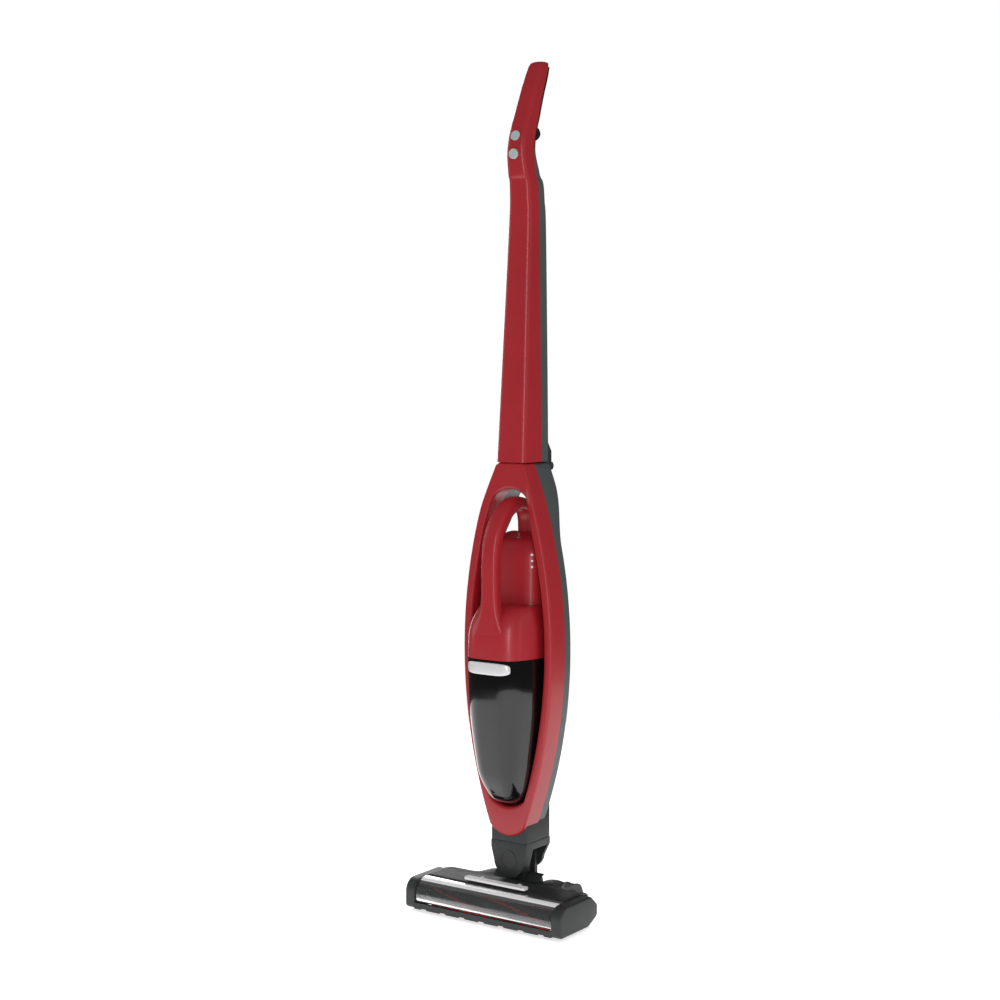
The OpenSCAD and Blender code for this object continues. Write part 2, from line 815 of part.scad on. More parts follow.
// ring of the hand unit or container: a flat front between two slanted cheeks
function body_ring(hf, hb, yf, yb, z) = let (r = 5) at_z(concat(
    arc_pts(r - hf, yf + r, r, 215, 270, 3), arc_pts(hf - r, yf + r, r, 270, 325, 3),
    arc_pts(hb - r, -frame_front_y + r, r, 325, 360, 2), arc_pts(hb - r, yb - r, r, 0, 90, 3),
    arc_pts(r - hb, yb - r, r, 90, 180, 3), arc_pts(r - hb, -frame_front_y + r, r, 180, 215, 2)), z);

function shrink(st, t) = [for (s = st) [s[0] - t, s[1] - t, s[2] + t, s[3] - t, s[4]]];

module body_loft(st) {
    loft([for (s = st) body_ring(s[0], s[1], s[2], s[3], s[4])]);
}

flat = bin_flat_w / 2;
hull_w = 50;
seat_y = rear_y - wall - 0.8;
deck_z = bin_z + 68;

shell_stations = [
    [flat, hull_w, -bin_front, seat_y, bin_z + 0.5],
    [flat - 2, hull_w, 1 - bin_front, seat_y, bin_z + 34],
    [flat - 6, hull_w - 4, 10 - bin_front, seat_y, bin_z + 56],
    [flat - 12, hull_w - 8, 26 - bin_front, seat_y, deck_z],
];

// path of the loop handle in side view, from the front bar over to the back leg
loop_path = [for (p = [[-56, -26], [-56.5, 28], [-56.5, 63], [-52, 88], [-41, 109], [-24, 125], [-4, 133],
    [14, 130], [24, 116], [26, 96], [26, 72]]) [p.x, deck_z + p.y]];
loop_w = 12;
loop_t = 9.5;

function loop_ring(k) = let (
    n = len(loop_path), a = loop_path[max(k - 1, 0)], b = loop_path[min(k + 1, n - 1)],
    d = (b - a) / norm(b - a), c = loop_path[k], t = k < 7 ? loop_t : loop_t - 1.5)
    [for (p = [[-0.6, -1], [0.6, -1], [1, -0.5], [1, 0.5], [0.6, 1], [-0.6, 1], [-1, 0.5], [-1, -0.5]])
        [p.x * loop_w, c.x + p.y * t * d.y, c.y - p.y * t * d.x]];

module loop_handle() {
    loft([for (k = [0 : len(loop_path) - 1]) loop_ring(k)]);
}

// red lower body with the loop handle
module hand_shell() {
    color(RED) difference() {
        union() {
            body_loft(shell_stations);
            loop_handle();
        }
        body_loft([for (k = [0 : 3]) let (s = shrink(shell_stations, wall)[k], drop = k == 0 ? -1 : k == 3 ? -wall : 0)
            [s[0], s[1], s[2], s[3], s[4] + drop]]);
        dome(0);
        trigger_box(gap, 2);
        rod_z(30, deck_z - 6, deck_z + 1, 0, -6);
    }
}

dome_base = deck_z + 0.2;
grille_z = deck_z + 12;
grille_h = 32;
trigger_z = deck_z + 40;

// outline of the dome: rounded rings whose top slopes up to the back
function dome_ring(hw, y0, y1, z, slope) = let (r = min(hw - 1, y1 - y0 - 9, 20)) [for (p = concat(
    arc_pts(r - hw, y0 + r, r, 180, 270), arc_pts(hw - r, y0 + r, r, 270, 360),
    arc_pts(hw - 8, y1 - 8, 8, 0, 90, 3), arc_pts(8 - hw, y1 - 8, 8, 90, 180, 3)))
    [p.x, p.y, z + slope * (p.y - y0)]];

module dome(inset) {
    s = inset;
    loft([
        dome_ring(41 - s, s - 16, seat_y - s, dome_base - (s > 0 ? 1 : 0), 0),
        dome_ring(41 - s, s - 16, seat_y - s, deck_z + 58, 0.05),
        dome_ring(38 - s, s - 13, seat_y - 1 - s, deck_z + 71 - s / 2, 0.3),
        dome_ring(28 - s, s - 7, seat_y - 4 - s, deck_z + 83 - s, 0.4),
        dome_ring(17 - s, s - 1, seat_y - 8 - s, deck_z + 88 - s, 0.4),
    ]);
}

module motor_housing() {
    color(RED) difference() {
        dome(0);
        dome(wall);
        light_holes(1.6);
        block([-22, seat_y - 4, grille_z], [22, seat_y + 2, grille_z + grille_h]);
    }
}

light_pitch = 8;

// three round holes on the dome's front right corner
module light_holes(r, from = 15, to = 25) {
    for (k = [0 : 2]) translate([21, 4, deck_z + 51 + light_pitch * k]) rotate([0, 90, -50])
        translate([0, 0, from]) cylinder(r = r, h = to - from);
}

module charge_lights() {
    color("white") light_holes(1.6, 17.4, 20.2);
}

motor_y0 = -6;

module vacuum_motor() {
    color("silver") {
        rod_z(26, bin_z + 22, deck_z - 3, 0, motor_y0);
        rod_z(2, bin_z + 6, bin_z + 23, 0, motor_y0);
    }
}

module fan_wheel() {
    blades = 9;
    color("gray") difference() {
        union() {
            rod_z(27, bin_z + 17, bin_z + 19, 0, motor_y0);
            rod_z(6, bin_z + 8, bin_z + 19, 0, motor_y0);
            translate([0, motor_y0, bin_z + 9]) for (k = [0 : blades - 1]) rotate(360 * k / blades)
                translate([4, -0.6, 0]) cube([22, 1.2, 9]);
        }
        rod_z(2 + run_gap, bin_z, bin_z + 30, 0, motor_y0);
    }
}

cell_r = 9.2;

module battery_pack() {
    cells = 4;
    color("royalblue") for (k = [0 : cells - 1])
        rod_z(cell_r, deck_z + 3, deck_z + 68, (k - (cells - 1) / 2) * (2 * cell_r + 0.4), seat_y - wall - 2 - cell_r);
}

module hand_board() {
    color("darkgreen") block([-20, -9, deck_z + 6], [20, -7.4, deck_z + 50]);
}

module exhaust_grille() {
    color(DARK) difference() {
        block([-22, seat_y - 2.4, grille_z], [22, seat_y, grille_z + grille_h]);
        for (k = [0 : 5]) block([-19, seat_y - 4, grille_z + 3 + 5 * k], [19, seat_y + 1, grille_z + 5.5 + 5 * k]);
    }
}

// trigger on the inside of the loop handle
module hand_power_button() {
    color(DARK) trigger_box(0, 0);
}

// the trigger, or with some gap and depth the pocket that it moves in
module trigger_box(grow, deeper) {
    y = loop_path[1].x + loop_t;
    block([-6 - grow, y - 3 - deeper, trigger_z - grow], [6 + grow, y + 1.5 + 5 * grow, trigger_z + 16 + grow]);
}

// ---- dust container ----

bin_stations = [
    [10, 18, -30, seat_y - 2, cradle_z + 6],
    [20, 31, -44, seat_y, cradle_z + 24],
    [29, 39, -57, seat_y, cradle_z + 60],
    [flat - 3, hull_w - 3, 3 - bin_front, seat_y, cradle_z + 116],
    [flat, hull_w, -bin_front, seat_y, bin_z],
];
inlet_y = 14;
badge_w = 67;
badge_h = 22;

module dust_container() {
    color([0.1, 0.1, 0.12, 0.7]) difference() {
        body_loft(bin_stations);
        body_loft([for (k = [0 : 4]) let (s = shrink(bin_stations, wall)[k], rise = k == 0 ? wall : k == 4 ? 1 : 0)
            [s[0], s[1], s[2], s[3], s[4] + rise]]);
        rod_z(6.5, cradle_z, cradle_z + 20, 0, inlet_y);
        badge_shape(gap, -90, -50);
    }
}

// pill outline of the release button
module badge_shape(grow, y0, y1) {
    along_y(y0, y1) for (s = [-1, 1]) hull() {
        translate([s * (badge_w / 2 - 5), bin_z - 8]) circle(5 + grow, $fn = 24);
        translate([s * (badge_w / 2 - 7), bin_z + 1 - badge_h + 7]) circle(5 + grow, $fn = 24);
        translate([-1, bin_z - badge_h + 3 - grow]) square([2, badge_h - 6 + 2 * grow]);
    }
}

module bin_button() {
    color("silver") badge_shape(0, -bin_front - 1.6, 3 - bin_front);
}

module bin_seal() {
    color(BLACK) difference() {
        rod_z(30, bin_z - 3, bin_z, 0, motor_y0 - 8);
        rod_z(27, bin_z - 4, bin_z + 1, 0, motor_y0 - 8);
    }
}

module filter_frame() {
    color(DARK) difference() {
        union() {
            rod_z(27, bin_z - 4, bin_z - 0.5, 0, motor_y0 - 8);
            rod_z(24, bin_z - 14, bin_z - 3, 0, motor_y0 - 8);
        }
        rod_z(21, bin_z - 15, bin_z + 1, 0, motor_y0 - 8);
    }
}

module inner_filter() {
    color("lightgray") translate([0, motor_y0 - 8, 0]) rotate_extrude() polygon([
        [0, bin_z - 96], [12, bin_z - 96], [21, bin_z - 14.1], [19.6, bin_z - 14.1], [10.8, bin_z - 94.6], [0, bin_z - 94.6]]);
}

module inlet_flap() {
    z = cradle_z + 6 + wall + 0.4;
    color(BLACK) union() {
        block([-7, inlet_y - 8.5, z], [7, inlet_y + 6, z + 1.2]);
        rod_x(1.2, 16, 0, inlet_y - 8.5, z + 1.2);
    }
}

// ---- every sub-part by its node name ----

head_base();
head_cover();
end_cap_left();
end_cap_right();
brush_window();
front_lip();
sole_seal();
brush_motor();
drive_belt();
brush_bearings();
wheel_axles();
roller_pins();
head_screws();
brush_core();
brush_bristles();
brush_pulley();
motor_pulley();
rear_wheel_left();
rear_wheel_right();
front_roller_left();
front_roller_right();
clean_pedal();
pedal_spring();
brush_latch();
tilt_yoke();
duct_hose();
neck_fork();
neck_collar();
swivel_pin();
pin_cap();
frame_front();
frame_rear();
suction_duct();
dock_contacts();
hinge_lower();
hinge_pin();
tube_front();
tube_rear();
grip_strip();
hinge_upper();
handle_board();
handle_cable();
power_button();
mode_button();
fold_button();
hand_shell();
motor_housing();
vacuum_motor();
fan_wheel();
battery_pack();
hand_board();
charge_lights();
exhaust_grille();
hand_power_button();
bin_button();
dust_container();
inner_filter();
filter_frame();
inlet_flap();
bin_seal();
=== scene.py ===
import math
import random

import bpy
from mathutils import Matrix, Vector


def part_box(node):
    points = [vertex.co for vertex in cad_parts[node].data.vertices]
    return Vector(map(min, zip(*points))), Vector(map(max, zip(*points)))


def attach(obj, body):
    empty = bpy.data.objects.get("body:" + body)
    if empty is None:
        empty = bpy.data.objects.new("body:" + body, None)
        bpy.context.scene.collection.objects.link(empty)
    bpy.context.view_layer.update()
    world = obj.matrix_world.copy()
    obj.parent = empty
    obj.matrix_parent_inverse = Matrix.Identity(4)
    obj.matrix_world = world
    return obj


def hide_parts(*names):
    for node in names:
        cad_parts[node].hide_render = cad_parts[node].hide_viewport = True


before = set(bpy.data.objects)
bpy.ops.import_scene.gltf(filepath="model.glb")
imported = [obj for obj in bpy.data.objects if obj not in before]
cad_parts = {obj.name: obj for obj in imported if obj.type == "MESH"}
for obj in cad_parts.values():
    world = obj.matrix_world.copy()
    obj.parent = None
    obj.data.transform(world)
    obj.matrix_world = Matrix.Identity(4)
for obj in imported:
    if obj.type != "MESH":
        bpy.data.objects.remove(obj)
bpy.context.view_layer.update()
MM = 0.001


# ---- places taken from the frame ----

def low(node):
    return [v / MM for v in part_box(node)[0]]


def high(node):
    return [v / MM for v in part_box(node)[1]]


FLAT_N = 6          # points in a corner arc
FRONT = low("frame_front")[1]
SPLIT = high("frame_front")[1]
REAR = FRONT + 50
RING_LOW = low("frame_front")[2]
RING_TOP = high("frame_front")[2]
RING_HALF = high("frame_front")[0]
LIMB = 13
SEAM = low("tube_front")[2]
TUBE_HALF = high("tube_front")[0]
TUBE_FRONT = low("tube_front")[1]
TOP = high("tube_front")[2]
BEND = TOP - 125
BIN_TOP = high("dust_container")[2]
BIN_LOW = low("dust_container")[2]
BIN_FRONT = low("dust_container")[1]
SEAT = high("dust_container")[1]
DECK = BIN_TOP + 68
HEAD_FRONT = low("end_cap_left")[1]
HEAD_HALF = high("end_cap_right")[0]
CAP_BACK = high("end_cap_left")[1]
CAP_TOP = high("end_cap_left")[2]
CAP_W = 15
SOLE = low("end_cap_left")[2]
NECK_HALF = high("neck_fork")[0]
NECK_FRONT = low("neck_fork")[1]
NECK_BACK = high("neck_fork")[1]
SWIVEL = (low("swivel_pin")[2] + high("swivel_pin")[2]) / 2
BRUSH_Y = (low("brush_bristles")[1] + high("brush_bristles")[1]) / 2
BRUSH_Z = (low("brush_bristles")[2] + high("brush_bristles")[2]) / 2
BRUSH_R = (high("brush_bristles")[2] - low("brush_bristles")[2]) / 2


# ---- camera, floor and light ----

CAMERA_AZIMUTH = 35     # degrees, fitted to the photo's outline like the rest of the camera
CAMERA_DISTANCE = 2.391
CAMERA_HEIGHT = 0.718
SENSOR = 36
FOCAL = 1.788           # focal length over sensor width
SHIFT = (-0.0159, -0.126)
FLOOR_RADIUS = 1.3
FLOOR_GLOW = 0.6
WORLD_SEEN = 1.0        # background as the camera sees it
WORLD_DIFFUSE = 0.64
WORLD_GLOSSY = 0.05     # dark in reflections, so gloss shows the softboxes


def stage():
    azimuth = math.radians(CAMERA_AZIMUTH)
    distance, eye = CAMERA_DISTANCE, CAMERA_HEIGHT
    camera = bpy.data.objects.new("camera", bpy.data.cameras.new("camera"))
    bpy.context.collection.objects.link(camera)
    camera.location = (distance * math.sin(azimuth), -distance * math.cos(azimuth), eye)
    camera.rotation_euler = (math.pi / 2, 0, azimuth)
    camera.data.sensor_width = SENSOR
    camera.data.lens = SENSOR * FOCAL
    camera.data.shift_x = SHIFT[0]
    camera.data.shift_y = SHIFT[1]
    camera.data.clip_end = 50
    bpy.context.scene.camera = camera

    bpy.ops.mesh.primitive_circle_add(vertices=128, radius=FLOOR_RADIUS, fill_type="NGON", location=(0, 0, -0.0002))
    floor = bpy.context.object
    floor.name = "floor"
    mat, nodes, links, shader = new_material("floor_pale")
    shader.inputs["Base Color"].default_value = (0.94, 0.94, 0.94, 1)
    shader.inputs["Roughness"].default_value = 0.85
    shader.inputs["Emission Color"].default_value = (1, 1, 1, 1)
    shader.inputs["Emission Strength"].default_value = FLOOR_GLOW
    floor.data.materials.append(mat)

    world = bpy.data.worlds.new("studio")
    world.use_nodes = True
    nodes, links = world.node_tree.nodes, world.node_tree.links
    path = nodes.new("ShaderNodeLightPath")
    glow = nodes.new("ShaderNodeMix")
    glow.inputs["A"].default_value = WORLD_DIFFUSE
    glow.inputs["B"].default_value = WORLD_GLOSSY
    links.new(path.outputs["Is Glossy Ray"], glow.inputs["Factor"])
    full = nodes.new("ShaderNodeMix")
    full.inputs["B"].default_value = WORLD_SEEN
    links.new(glow.outputs["Result"], full.inputs["A"])
    links.new(path.outputs["Is Camera Ray"], full.inputs["Factor"])
    links.new(full.outputs["Result"], nodes["Background"].inputs["Strength"])
    nodes["Background"].inputs["Color"].default_value = (1, 1, 1, 1)
    bpy.context.scene.world = world
    bpy.context.scene.view_settings.view_transform = "Standard"

    softbox("key", (1.9, -2.6, 1.1), (0, 0, 0.45), 0.5, 2.3, 25)
    softbox("fill", (-2.8, -0.8, 1.3), (0, 0, 0.5), 0.8, 2.2, 9)
    softbox("side", (2.9, 0.2, 1.1), (0, 0, 0.5), 0.5, 2.2, 2.5)
    softbox("rim", (-2.0, 1.7, 1.1), (0, 0, 0.5), 0.9, 2.4, 22)


def softbox(name, place, target, width, height, watts):
    light = bpy.data.lights.new(name, "AREA")
    light.shape = "RECTANGLE"
    light.size, light.size_y = width, height
    light.energy = watts
    lamp = bpy.data.objects.new(name, light)
    lamp.location = place
    lamp.rotation_euler = (Vector(target) - Vector(place)).to_track_quat("-Z", "Y").to_euler()
    bpy.context.collection.objects.link(lamp)


# ---- materials ----

def new_material(name):
    mat = bpy.data.materials.new(name)
    mat.use_nodes = True
    nodes, links = mat.node_tree.nodes, mat.node_tree.links
    return mat, nodes, links, nodes["Principled BSDF"]


def noise(nodes, links, scale, detail=2.0, stretch=(1, 1, 1)):
    coords = nodes.new("ShaderNodeTexCoord")
    mapping = nodes.new("ShaderNodeMapping")
    mapping.inputs["Scale"].default_value = stretch
    tex = nodes.new("ShaderNodeTexNoise")
    tex.inputs["Scale"].default_value = scale
    tex.inputs["Detail"].default_value = detail
    links.new(coords.outputs["Object"], mapping.inputs["Vector"])
    links.new(mapping.outputs["Vector"], tex.inputs["Vector"])
    return tex


def plastic(name, colour, rough, spread=0.05, grain=900, bump=0.02, depth=0.00005, vary=0.06, coat=0.0,
            metal=0.0, stretch=(1, 1, 1)):
    """Moulded plastic: two close shades, uneven gloss and a fine surface grain."""
    mat, nodes, links, shader = new_material(name)
    soft = noise(nodes, links, 9, 3, stretch)
    ramp = nodes.new("ShaderNodeValToRGB")
    ramp.color_ramp.elements[0].position, ramp.color_ramp.elements[1].position = 0.35, 0.7
    ramp.color_ramp.elements[0].color = (*[c * (1 - vary) for c in colour], 1)
    ramp.color_ramp.elements[1].color = (*[c * (1 + vary) for c in colour], 1)
    links.new(soft.outputs["Fac"], ramp.inputs["Fac"])
    links.new(ramp.outputs["Color"], shader.inputs["Base Color"])
    gloss = noise(nodes, links, 60, 4, stretch)
    span = nodes.new("ShaderNodeMapRange")
    span.inputs["To Min"].default_value = rough - spread
    span.inputs["To Max"].default_value = rough + spread
    links.new(gloss.outputs["Fac"], span.inputs["Value"])
    links.new(span.outputs["Result"], shader.inputs["Roughness"])
    fine = noise(nodes, links, grain, 2, stretch)
    bumps = nodes.new("ShaderNodeBump")
    bumps.inputs["Strength"].default_value = bump
    bumps.inputs["Distance"].default_value = depth
    links.new(fine.outputs["Fac"], bumps.inputs["Height"])
    links.new(bumps.outputs["Normal"], shader.inputs["Normal"])
    shader.inputs["Coat Weight"].default_value = coat
    shader.inputs["Coat Roughness"].default_value = 0.08
    shader.inputs["Metallic"].default_value = metal
    return mat


def clear(name, colour, rough, weight, coat=0.0, shine=0.35):
    """Tinted clear plastic with faint haze and hairline scratches."""
    mat = plastic(name, colour, rough, 0.015, 300, 0.01, 0.00002, 0.03, coat)
    shader = mat.node_tree.nodes["Principled BSDF"]
    shader.inputs["Transmission Weight"].default_value = weight
    shader.inputs["IOR"].default_value = 1.46
    shader.inputs["Specular IOR Level"].default_value = shine
    return mat


def woven(name, colour, pitch):
    """Fine mesh: crossed waves that raise and darken the threads."""
    mat, nodes, links, shader = new_material(name)
    coords = nodes.new("ShaderNodeTexCoord")
    waves = []
    for direction in ("X", "Z"):
        wave = nodes.new("ShaderNodeTexWave")
        wave.bands_direction = direction
        wave.inputs["Scale"].default_value = 1 / pitch
        links.new(coords.outputs["Object"], wave.inputs["Vector"])
        waves.append(wave)
    both = nodes.new("ShaderNodeMath")
    both.operation = "MULTIPLY"
    links.new(waves[0].outputs["Fac"], both.inputs[0])
    links.new(waves[1].outputs["Fac"], both.inputs[1])
    ramp = nodes.new("ShaderNodeValToRGB")
    ramp.color_ramp.elements[0].color = (*[c * 0.45 for c in colour], 1)
    ramp.color_ramp.elements[1].color = (*colour, 1)
    links.new(both.outputs["Value"], ramp.inputs["Fac"])
    links.new(ramp.outputs["Color"], shader.inputs["Base Color"])
    bumps = nodes.new("ShaderNodeBump")
    bumps.inputs["Distance"].default_value = 0.0002
    bumps.inputs["Strength"].default_value = 0.5
    links.new(both.outputs["Value"], bumps.inputs["Height"])
    links.new(bumps.outputs["Normal"], shader.inputs["Normal"])
    shader.inputs["Roughness"].default_value = 0.7
    return mat


def make_materials():
    return {
        "red_shell": plastic("red_shell", (0.365, 0.013, 0.020), 0.34, 0.04, 700, 0.015, 0.00004, 0.04, 0.12),
        "dark_shell": plastic("dark_shell", (0.026, 0.028, 0.029), 0.50, 0.05, 1500, 0.10, 0.00006, 0.08),
        "grey_shell": plastic("grey_shell", (0.072, 0.084, 0.086), 0.44, 0.05, 1500, 0.10, 0.00006, 0.08),
        "black_part": plastic("black_part", (0.014, 0.014, 0.015), 0.38, 0.05, 1200, 0.06, 0.00005, 0.10),
        "white_part": plastic("white_part", (0.78, 0.78, 0.78), 0.28, 0.04, 800, 0.02, 0.00004, 0.02, 0.3),
        "silver_key": plastic("silver_key", (0.44, 0.52, 0.53), 0.34, 0.05, 1600, 0.05, 0.00003, 0.05, 0.1, 0.15),
        "silver_badge": plastic("silver_badge", (0.78, 0.78, 0.79), 0.24, 0.05, 500, 0.03, 0.00003, 0.04, 0.3, 0.25,
                                (0.05, 1, 1)),
        "clear_window": clear("clear_window", (0.60, 0.61, 0.62), 0.05, 0.95, 0.0, 0.12),
        "smoked_bin": clear("smoked_bin", (0.004, 0.004, 0.004), 0.04, 0.1, 0.8),
        "rubber": plastic("rubber", (0.018, 0.018, 0.018), 0.72, 0.08, 1100, 0.2, 0.0001, 0.12),
        "bristle": plastic("bristle", (0.85, 0.03, 0.04), 0.55, 0.1, 2500, 0.6, 0.0003, 0.25, 0, 0, (6, 1, 1)),
        "steel": plastic("steel", (0.60, 0.60, 0.62), 0.28, 0.08, 400, 0.05, 0.00004, 0.05, 0, 1.0, (0.1, 6, 6)),
        "pulley_plastic": plastic("pulley_plastic", (0.42, 0.42, 0.40), 0.5, 0.05, 1200, 0.08, 0.00005, 0.06),
        "mesh_filter": woven("mesh_filter", (0.55, 0.56, 0.55), 0.004),
        "contact_brass": plastic("contact_brass", (0.75, 0.55, 0.22), 0.25, 0.06, 500, 0.04, 0.00003, 0.05, 0, 1.0),
        "board": plastic("board", (0.02, 0.13, 0.05), 0.4, 0.1, 300, 0.1, 0.0001, 0.2),
        "cable": plastic("cable", (0.015, 0.015, 0.015), 0.5, 0.05, 900, 0.1, 0.00005, 0.1),
        "cell_wrap": plastic("cell_wrap", (0.03, 0.10, 0.33), 0.3, 0.05, 500, 0.03, 0.00004, 0.06, 0.3),
    }


# ---- mesh helpers ----

def piece(name, verts, faces, mat, slot, body, nodes):
    """A finished mesh piece, in millimetres in the frame, that stands for CAD nodes and rides on their body."""
    mesh = bpy.data.meshes.new(name)
    mesh.from_pydata([[c * MM for c in v] for v in verts], [], faces)
    mesh.validate()
    mesh.materials.append(mat)
    for face in mesh.polygons:
        face.use_smooth = True
    obj = bpy.data.objects.new(name, mesh)
    bpy.context.collection.objects.link(obj)
    sharp = obj.modifiers.new("sharp", "EDGE_SPLIT")
    sharp.split_angle = math.radians(38)
    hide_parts(*nodes)
    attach(obj, body)
    return obj


def join(*parts):
    verts, faces = [], []
    for v, f in parts:
        base = len(verts)
        verts += v
        faces += [[i + base for i in face] for face in f]
    return verts, faces


def loft(rings, caps=True, closed=False):
    """Skin over rings of equal length. Ends are capped unless the rings close on themselves."""
    n = len(rings[0])
    verts = [p for ring in rings for p in ring]
    faces = []
    count = len(rings) if closed else len(rings) - 1
    for k in range(count):
        a, b = k * n, ((k + 1) % len(rings)) * n
        for i in range(n):
            j = (i + 1) % n
            faces.append([a + i, a + j, b + j, b + i])
    if caps and not closed:
        faces.append(list(range(n))[::-1])
        faces.append([(len(rings) - 1) * n + i for i in range(n)])
    return verts, faces


def vessel(outer, inner):
    """Open-topped wall between two lofts that start closed and end level."""
    n = len(outer[0])
    v1, f1 = loft(outer, caps=False)
    v2, f2 = loft(inner, caps=False)
    base = len(v1)
    verts = v1 + v2
    faces = f1 + [[i + base for i in face[::-1]] for face in f2]
    faces.append(list(range(n))[::-1])
    faces.append([base + i for i in range(n)])
    a, b = (len(outer) - 1) * n, base + (len(inner) - 1) * n
    for i in range(n):
        j = (i + 1) % n
        faces.append([a + i, a + j, b + j, b + i])
    return verts, faces


def smooth_rows(rows, step):
    """Rows of numbers whose first is the height, filled in along a smooth curve through them."""
    out = []
    for k in range(len(rows) - 1):
        p0, p1, p2, p3 = rows[max(k - 1, 0)], rows[k], rows[k + 1], rows[min(k + 2, len(rows) - 1)]
        span = max(1, round(abs(math.dist(p1[:2], p2[:2])) / step))
        for s in range(span):
            t = s / span
            out.append([catmull(a, b, c, d, t) for a, b, c, d in zip(p0, p1, p2, p3)])
    out.append(list(rows[-1]))
    return out


def catmull(a, b, c, d, t):
    return 0.5 * (2 * b + (c - a) * t + (2 * a - 5 * b + 4 * c - d) * t * t + (3 * b - a - 3 * c + d) * t ** 3)


def corner(x, y, r, start, n=FLAT_N):
    return [(x + r * math.cos(math.radians(start + 90 * k / n)), y + r * math.sin(math.radians(start + 90 * k / n)))
            for k in range(n + 1)]


def rounded_box(x0, y0, x1, y1, r):
    return corner(x1 - r, y1 - r, r, 0) + corner(x0 + r, y1 - r, r, 90) + corner(x0 + r, y0 + r, r, 180) + \
        corner(x1 - r, y0 + r, r, 270)


def superellipse(half_w, y0, y1, power, n=48):
    """Closed outline, fuller than an ellipse, from y0 to y1."""
    out = []
    cy, hy = (y0 + y1) / 2, (y1 - y0) / 2
    for k in range(n):
        a = 2 * math.pi * k / n
        c, s = math.cos(a), math.sin(a)
        p = 2 / power
        out.append((half_w * math.copysign(abs(c) ** p, c), cy + hy * math.copysign(abs(s) ** p, s)))
    return out


def resample(points, count):
    gaps = [0.0]
    for a, b in zip(points, points[1:]):
        gaps.append(gaps[-1] + math.dist(a, b))
    out, k = [], 0
    for i in range(count):
        want = gaps[-1] * i / (count - 1)
        while k < len(gaps) - 2 and gaps[k + 1] < want:
            k += 1
        t = (want - gaps[k]) / max(gaps[k + 1] - gaps[k], 1e-9)
        out.append(tuple(p + (q - p) * t for p, q in zip(points[k], points[k + 1])))
    return out


# ---- frame ring ----

SIDE_SAG = RING_HALF - TUBE_HALF + 1.5
HALF_H = (RING_TOP - RING_LOW) / 2
SIDE_R = (HALF_H ** 2 + SIDE_SAG ** 2) / (2 * SIDE_SAG)
FOOT_R = 36
ARCH_R = 35
CRADLE_R = 40
OPEN_LOW = RING_LOW + 40
OPEN_TOP = RING_TOP - 35


def side_x(z):
    mid = RING_LOW + HALF_H
    return RING_HALF - SIDE_R + math.sqrt(SIDE_R ** 2 - (z - mid) ** 2)


def half_outline(inset, z0, z1, foot, arch):
    """Right half of an oval from its lowest to its highest point, as (x, z)."""
    points = []
    for k in range(401):
        z = z0 + (z1 - z0) * (1 - math.cos(math.pi * k / 400)) / 2
        x = side_x(z) - inset
        if z - z0 < foot:
            x = min(x, math.sqrt(max(foot ** 2 - (foot - z + z0) ** 2, 0)))
        if arch and z1 - z < arch:
            x = min(x, math.sqrt(max(arch ** 2 - (arch - z1 + z) ** 2, 0)))
        points.append((max(x, 0), z))
    if points[-1][0] > 0.5:
        points.append((0, z1))
    return points


def full_outline(points, count):
    right = resample(points, count)
    return right + [(-x, z) for x, z in right[-2:0:-1]]


def ease(x, start, end):
    """Smooth step from 0 to 1 between start and end."""
    t = min(max((x - start) / (end - start), 0), 1)
    return t * t * (3 - 2 * t)


def lean(z, near, far, start, end):
    """Y that eases from near to far as z goes from start to end."""
    return near + (far - near) * ease(z, start, end)


def ring_front_y(z):
    return lean(z, FRONT, FRONT + 7, RING_TOP - 70, RING_TOP + 4)


def ring_rear_y(z):
    return lean(z, REAR, REAR + 20, RING_TOP - 112, RING_TOP - 26)


def ring_section(outer, inner, y_flat, y_round, r):
    """Section of the ring from its seam to its rounded face; u runs from the outer edge to the inner one."""
    width = math.dist(outer, inner)
    r = min(r, width / 2 - 0.2)
    turn = 1 if y_round > y_flat else -1
    arc = [(r - r * math.cos(math.pi / 2 * k / FLAT_N), y_round - turn * (r - r * math.sin(math.pi / 2 * k / FLAT_N)))
           for k in range(FLAT_N + 1)]
    profile = [(0, y_flat)] + arc + [(width - u, y) for u, y in arc[::-1]] + [(width, y_flat)]
    out = []
    for u, y in profile:
        t = u / width
        out.append((outer[0] + (inner[0] - outer[0]) * t, y, outer[1] + (inner[1] - outer[1]) * t))
    return out


def make_frame(mats):
    count = 90
    outer = full_outline(half_outline(0, RING_LOW, RING_TOP, FOOT_R, 0), count)
    inner = full_outline(half_outline(LIMB, OPEN_LOW, OPEN_TOP, CRADLE_R, ARCH_R), count)
    rings = [ring_section(o, i, SPLIT, ring_front_y(o[1]), 4.5) for o, i in zip(outer, inner)]
    piece("frame_front_fine", *loft(rings, closed=True), mats["red_shell"], "red_shell", "frame", ["frame_front"])

    outer = full_outline(half_outline(1, RING_LOW + 1, RING_TOP - 1, FOOT_R, 0), count)
    rings = [ring_section(o, i, SPLIT, ring_rear_y(o[1]), 3.5) for o, i in zip(outer, inner)]
    wall_top = RING_LOW + HALF_H + 110
    rows = [(x - 0.2, z) for x, z in half_outline(LIMB, OPEN_LOW, OPEN_TOP, CRADLE_R, ARCH_R) if z < wall_top]
    rows = resample(rows, 60)
    across = [-1 + 2 * k / 24 for k in range(25)]
    wall = [[(x * max(half, 0.3), REAR - 2.2, z) for x in across] +
            [(x * max(half, 0.3), REAR, z) for x in across[::-1]]
            for half, z in rows]
    piece("frame_rear_fine", *join(loft(rings, closed=True), loft(wall)), mats["grey_shell"], "grey_shell", "frame",
          ["frame_rear"])


# ---- tube and grip ----

